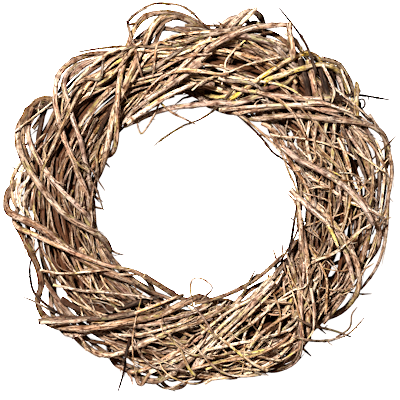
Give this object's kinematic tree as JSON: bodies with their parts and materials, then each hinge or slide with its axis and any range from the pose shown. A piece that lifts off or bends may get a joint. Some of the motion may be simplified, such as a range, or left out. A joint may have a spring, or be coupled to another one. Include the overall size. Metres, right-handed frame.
{
  "type": "grapevine wreath",
  "caption": "Round wreath of dry vine canes coiled into a loose open bundle and bound by longer canes wound round it, with a wide hole and stray twig ends.",
  "frame": {"origin": "under the middle of the outline, on the surface that the wreath lies on", "axes": "+Z out of the wreath's front, along the axis of its hole; +Y towards the top of the picture, +X towards its right"},
  "size_m": [0.3514, 0.3542, 0.0691],
  "materials": {
    "bark_dark": "dark weathered bark, matt",
    "bark_brown": "pinkish brown bark with grey weathering, matt",
    "bark_grey": "grey brown bark, matt",
    "bark_straw": "pale bare twig, matt",
    "bark_green": "yellow green young bark, matt",
    "bark_tendril": "near black dry tendril, matt"
  },
  "bodies": {
    "root": {"bundle_cane_01": "bark_dark", "bundle_cane_02": "bark_brown", "bundle_cane_03": "bark_brown", "bundle_cane_04": "bark_grey", "bundle_cane_05": "bark_dark", "bundle_cane_06": "bark_brown", "bundle_cane_07": "bark_brown", "bundle_cane_08": "bark_brown", "bundle_cane_09": "bark_grey", "bundle_cane_10": "bark_brown", "bundle_cane_11": "bark_dark", "bundle_cane_12": "bark_dark", "bundle_cane_13": "bark_brown", "bundle_cane_14": "bark_dark", "bundle_cane_15": "bark_dark", "bundle_cane_16": "bark_brown", "bundle_cane_17": "bark_brown", "bundle_cane_18": "bark_brown", "bundle_cane_19": "bark_grey", "bundle_cane_20": "bark_grey", "bundle_cane_21": "bark_brown", "bundle_cane_22": "bark_brown", "bundle_cane_23": "bark_grey", "hoop_cane_1": "bark_dark", "hoop_cane_2": "bark_dark", "stray_bud_stub": "bark_green", "stray_cane_top_bend": "bark_brown", "stray_curl_rim": "bark_brown", "stray_loop_bottom": "bark_dark", "stray_loop_left": "bark_tendril", "stray_loop_right_low": "bark_brown", "stray_loop_top": "bark_brown", "stray_tendril_hole": "bark_dark", "stray_tip_bottom": "bark_tendril", "stray_tip_right": "bark_tendril", "stray_tip_top_right": "bark_tendril", "stray_twig_light": "bark_brown", "stray_twig_right_low": "bark_dark", "wrap_cane_green_lower": "bark_green", "wrap_cane_green_upper": "bark_green", "wrap_cane_left_bow": "bark_brown", "wrap_cane_left_inner": "bark_brown", "wrap_cane_left_low_right": "bark_brown", "wrap_cane_left_thin": "bark_brown", "wrap_cane_low_cut": "bark_brown", "wrap_cane_low_rim": "bark_brown", "wrap_cane_right_light": "bark_straw", "wrap_cane_right_steep": "bark_brown", "wrap_cane_right_top": "bark_brown", "wrap_cane_top_fold": "bark_brown", "wrap_cane_top_left_low": "bark_brown", "wrap_cane_top_outer": "bark_brown", "wrap_cane_top_rim": "bark_brown", "wrap_cane_top_to_right": "bark_brown"}
  },
  "joints": []
}
